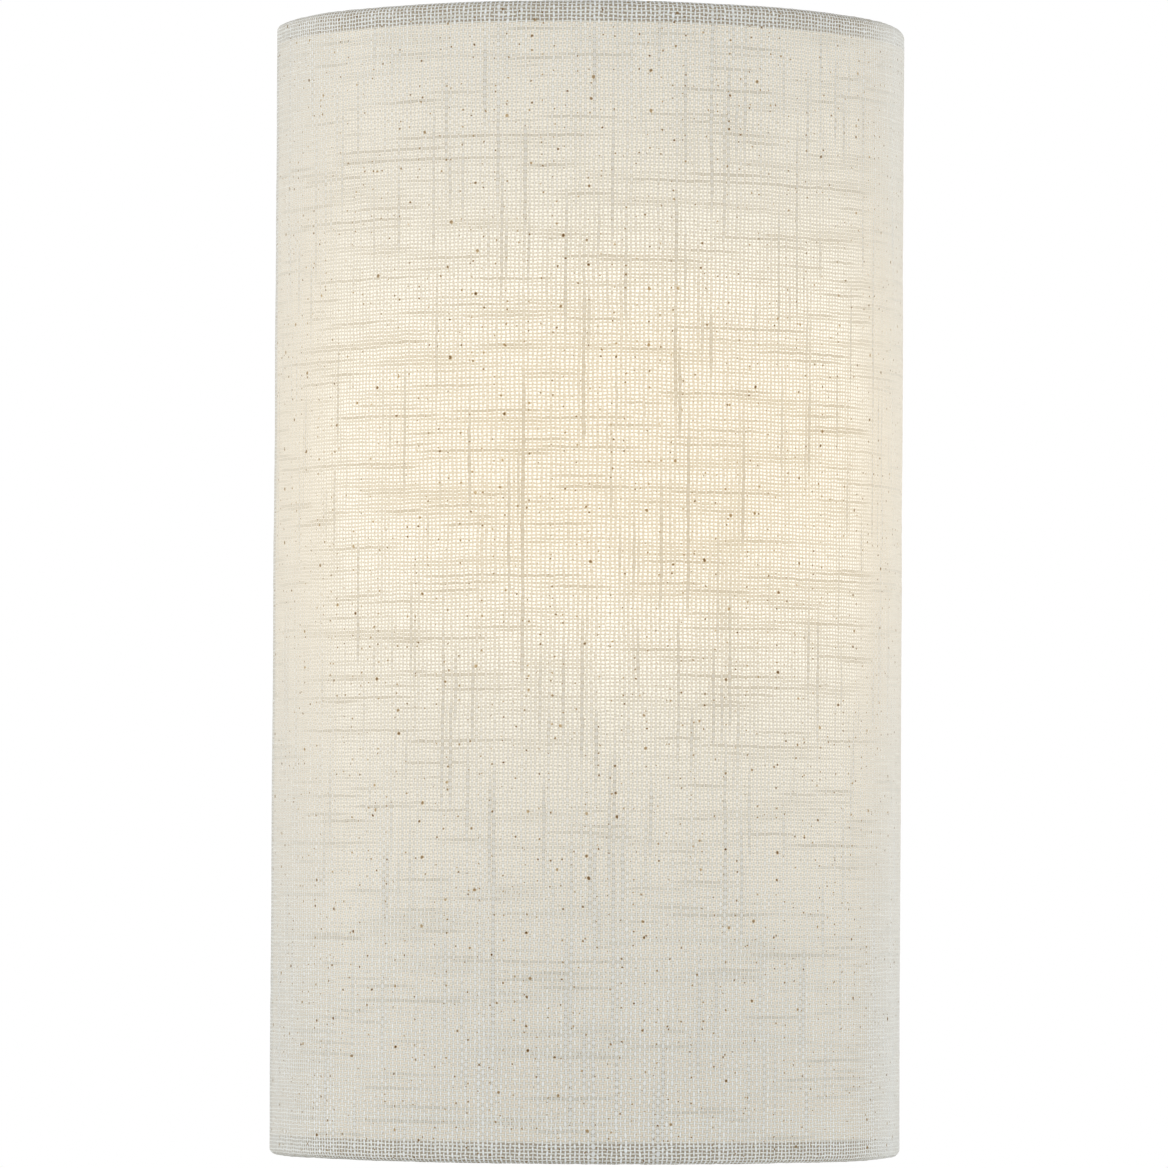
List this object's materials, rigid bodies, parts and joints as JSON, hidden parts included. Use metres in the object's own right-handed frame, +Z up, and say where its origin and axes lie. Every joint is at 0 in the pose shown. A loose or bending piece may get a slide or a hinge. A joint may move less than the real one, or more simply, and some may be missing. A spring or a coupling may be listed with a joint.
{
  "type": "fabric shade wall light",
  "caption": "Wall light with a half-drum cloth shade that lifts off keyhole tabs, a wall plate and a screw-in lamp.",
  "frame": {"origin": "on the wall plane, midway between the two wall screws", "axes": "+Z up, +X to the right as seen from the room, -Y away from the wall into the room"},
  "size_m": [0.18, 0.0932, 0.32],
  "materials": {
    "linen_cloth": "coarse plain weave with slubs and brown flecks",
    "styrene_liner": "translucent satin",
    "white_steel": "satin powder coat",
    "zinc_steel": "zinc plated",
    "brass": "bright",
    "white_thermoplastic": "satin moulded",
    "steatite": "unglazed",
    "white_polyamide": "moulded",
    "black_rubber": "matte",
    "brown_insulation": "extruded",
    "blue_insulation": "extruded",
    "green_yellow_insulation": "extruded, two-coloured",
    "opal_globe": "frosted opal",
    "nickel_cap": "nickel plated",
    "black_glass": "glossy"
  },
  "bodies": {
    "bracket": {"backplate": "white_steel", "stud_upper_left": "zinc_steel", "stud_upper_right": "zinc_steel", "stud_lower_left": "zinc_steel", "stud_lower_right": "zinc_steel", "cable_bush": "black_rubber", "lampholder_arm": "white_steel", "arm_screws": "zinc_steel", "lampholder_cap": "white_thermoplastic", "lampholder_skirt": "white_thermoplastic", "lampholder_insert": "steatite", "screw_shell": "brass", "centre_contact": "brass", "nipple": "zinc_steel", "nipple_nut_inner": "zinc_steel", "nipple_nut_outer": "zinc_steel", "nipple_washer": "zinc_steel", "terminal_block": "white_polyamide", "terminal_clamps": "brass", "terminal_screws": "zinc_steel", "terminal_block_screw": "zinc_steel", "earth_screw": "zinc_steel", "earth_washer": "zinc_steel", "earth_tag": "brass", "lead_live": "brown_insulation", "lead_neutral": "blue_insulation", "lead_earth": "green_yellow_insulation"},
    "shade": {"shade_fabric": "linen_cloth", "shade_liner": "styrene_liner", "top_ring": "white_steel", "bottom_ring": "white_steel", "stay_left": "white_steel", "stay_right": "white_steel", "tab_upper_left": "white_steel", "tab_upper_right": "white_steel", "tab_lower_left": "white_steel", "tab_lower_right": "white_steel"},
    "lamp_foot": {"lamp_contact": "nickel_cap"},
    "lamp": {"lamp_globe": "opal_globe", "lamp_housing": "white_thermoplastic", "lamp_cap": "nickel_cap", "lamp_insulator": "black_glass"}
  },
  "joints": [
    {"name": "shade_lift", "type": "slide", "parent": "bracket", "child": "shade", "axis": [0, 0, 1], "range_m": [0, 0.009]},
    {"name": "lamp_rise", "type": "slide", "parent": "bracket", "child": "lamp_foot", "axis": [0, 0, 1], "range_m": [0, 0.01452]},
    {"name": "lamp_turn", "type": "hinge", "parent": "lamp_foot", "child": "lamp", "pos_m": [0, -0.046, 0], "axis": [0, 0, 1], "range_deg": [0, 1440]}
  ],
  "couplings": [
    {"joint": "lamp_rise", "follows": "lamp_turn", "m_per_rad": 0.00057757}
  ]
}
